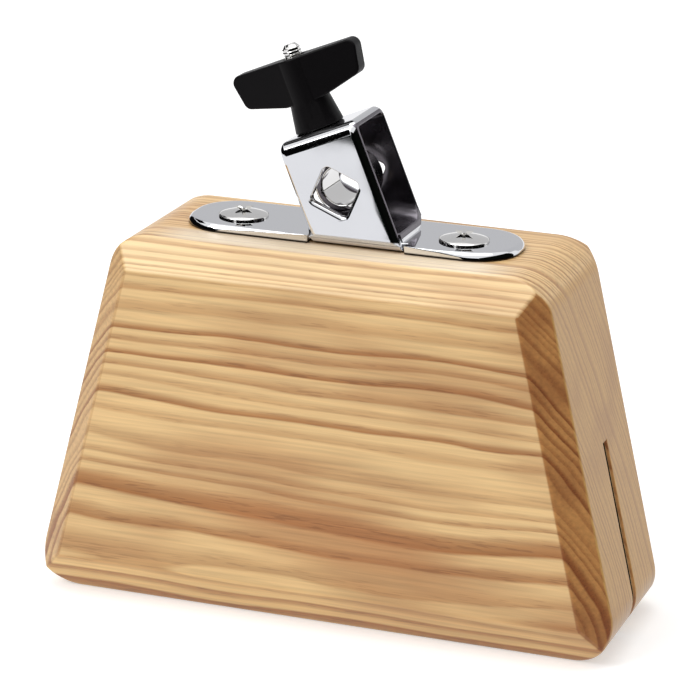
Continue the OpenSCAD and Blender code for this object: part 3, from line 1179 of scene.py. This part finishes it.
@dataclass(frozen=True)
class Studio:
    """The white floor, the white surroundings, the lamps and the cards."""

    floor_half: float = 4.0
    floor_albedo: str = "#e6e6e6"
    floor_glow: float = 0.42
    mirrored_floor: str = "#fcfcfe"
    ambient: float = 0.62
    lamps: tuple[Lamp, ...] = (
        Lamp("key", (-0.9, -1.0, 1.25), 0.9, 12.0),
        Lamp("overhead", (-0.1, 0.1, 1.5), 1.2, 8.0),
    )
    cards: tuple[Flag, ...] = (
        # Black in front of the clamp, for the dark bands on its bends.
        Flag("room_left_flag", "#050505", (
            (-2.0, -0.9, 0.0), (-0.357, -0.9, 0.0), (-0.37, -0.9, 0.3), (-0.5, -0.9, 0.45),
            (-0.81, -0.9, 0.8), (-1.07, -0.9, 1.05), (-2.0, -0.9, 1.1))),
        Flag("room_right_flag", "#060606", (
            (-0.25, -0.9, 0.0), (0.5, -0.9, 0.0), (0.5, -0.9, 0.5), (-0.25, -0.9, 0.5))),
        # Black beside it, for the loop's open side, its inside and the plate's ends.
        Flag("high_left_flag", "#050505", (
            (-0.9, 0.08, 0.68), (-0.9, 0.95, 0.68), (-0.9, 0.95, 1.1), (-0.9, 0.08, 1.1))),
        Flag("right_flag", "#0a0c0a", (
            (0.5, -0.9, 0.0), (0.5, 0.3, 0.0), (0.5, 0.3, 0.62), (0.5, -0.9, 0.62))),
        Flag("left_flag", "#0a0a0a", (
            (-0.6, -0.3, 0.0), (-0.6, 0.6, 0.0), (-0.6, 0.6, 0.42), (-0.6, -0.3, 0.42))),
        # Black on the floor, left out where the front wall mirrors it.
        Flag("floor_flag", "#0b100d", (
            (-2.0, -0.9, 0.001), (0.5, -0.9, 0.001), (0.5, 0.3, 0.001), (0.14, 0.1, 0.001),
            (0.11, -0.2, 0.001), (-0.055, -0.29, 0.001), (-0.075, -0.361, 0.001),
            (-0.1005, -0.361, 0.001), (-0.163, -0.507, 0.001), (-0.2, -0.515, 0.001),
            (-2.0, -0.515, 0.001))),
        # Grey behind, for the plate's flat top and the screws' domes.
        Flag("back_flag", "#cbcbcd", (
            (-3.0, 2.4, 0.35), (1.6, 2.4, 0.35), (1.6, 2.4, 1.7), (-3.0, 2.4, 1.7))),
        Flag("high_back_flag", "#cbcbcd", (
            (-3.0, 2.4, 1.7), (1.6, 2.4, 1.7), (1.6, 1.3, 1.7), (-3.0, 1.3, 1.7))),
        Flag("back_right_flag", "#101010", (
            (0.94, 2.3, 0.19), (1.12, 2.3, 0.19), (1.12, 2.3, 0.29), (0.94, 2.3, 0.29))),
    )

    def seen_directly(self, tree: Tree) -> Socket:
        """Tells rays of the camera, of mirrors and of glass from the light itself.

        Args:
            tree: The tree that gets the nodes.

        Returns:
            1 for such a ray and 0 for the others.
        """
        path = add(tree, "ShaderNodeLightPath")
        seen = add(tree, "ShaderNodeMath", {0: path.outputs["Is Camera Ray"],
                                            1: path.outputs["Is Glossy Ray"]},
                   operation="MAXIMUM").outputs[0]
        return add(tree, "ShaderNodeMath", {0: seen, 1: path.outputs["Is Transmission Ray"]},
                   operation="MAXIMUM").outputs[0]

    def floor(self) -> None:
        """Lays the floor, which looks white and keeps the object's shadow."""
        half = self.floor_half
        data = bpy.data.meshes.new("floor")
        data.from_pydata([(-half, -half, 0), (half, -half, 0), (half, half, 0), (-half, half, 0)],
                         [], [(0, 1, 2, 3)])
        material = bpy.data.materials.new("white_floor")
        tree = blank_tree(material)
        matt = add(tree, "ShaderNodeBsdfDiffuse", {"Color": linear(self.floor_albedo)})
        level = add(tree, "ShaderNodeMath", {0: self.seen_directly(tree), 1: self.floor_glow},
                    operation="MULTIPLY").outputs[0]
        glow = add(tree, "ShaderNodeEmission", {"Color": (1, 1, 1, 1), "Strength": level})
        both = add(tree, "ShaderNodeAddShader", {0: matt.outputs[0], 1: glow.outputs[0]})
        path = add(tree, "ShaderNodeLightPath")
        mirrored = add(tree, "ShaderNodeEmission", {"Color": linear(self.mirrored_floor),
                                                    "Strength": 1.0})
        result = add(tree, "ShaderNodeMixShader", {0: path.outputs["Is Glossy Ray"],
                                                   1: both.outputs[0], 2: mirrored.outputs[0]})
        add(tree, "ShaderNodeOutputMaterial", {"Surface": result.outputs[0]})
        data.materials.append(material)
        linked("floor", data)

    def surroundings(self) -> None:
        """Makes the world, white to the eye and a little softer as a light."""
        world = bpy.data.worlds.new("white_studio")
        bpy.context.scene.world = world
        tree = blank_tree(world)
        level = add(tree, "ShaderNodeMapRange", {0: self.seen_directly(tree), 3: self.ambient,
                                                 4: 1.0}).outputs[0]
        sky = add(tree, "ShaderNodeBackground", {"Color": (1, 1, 1, 1), "Strength": level})
        add(tree, "ShaderNodeOutputWorld", {"Surface": sky.outputs[0]})

    def build(self) -> None:
        """Sets up the studio."""
        self.floor()
        self.surroundings()
        for part in (*self.lamps, *self.cards):
            part.build()


def main() -> None:
    """Builds the camera, the pieces and the studio, in this order."""
    logging.basicConfig(level=logging.INFO, format="%(name)s: %(message)s")
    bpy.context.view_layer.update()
    bpy.context.scene.view_settings.view_transform = "Standard"
    for part in (View(), AshBlock(), RodClamp(), EyeBolt(), WingNut(), Studio()):
        part.build()
        LOG.info("%s: built", type(part).__name__)


if __name__ == "__main__":
    main()
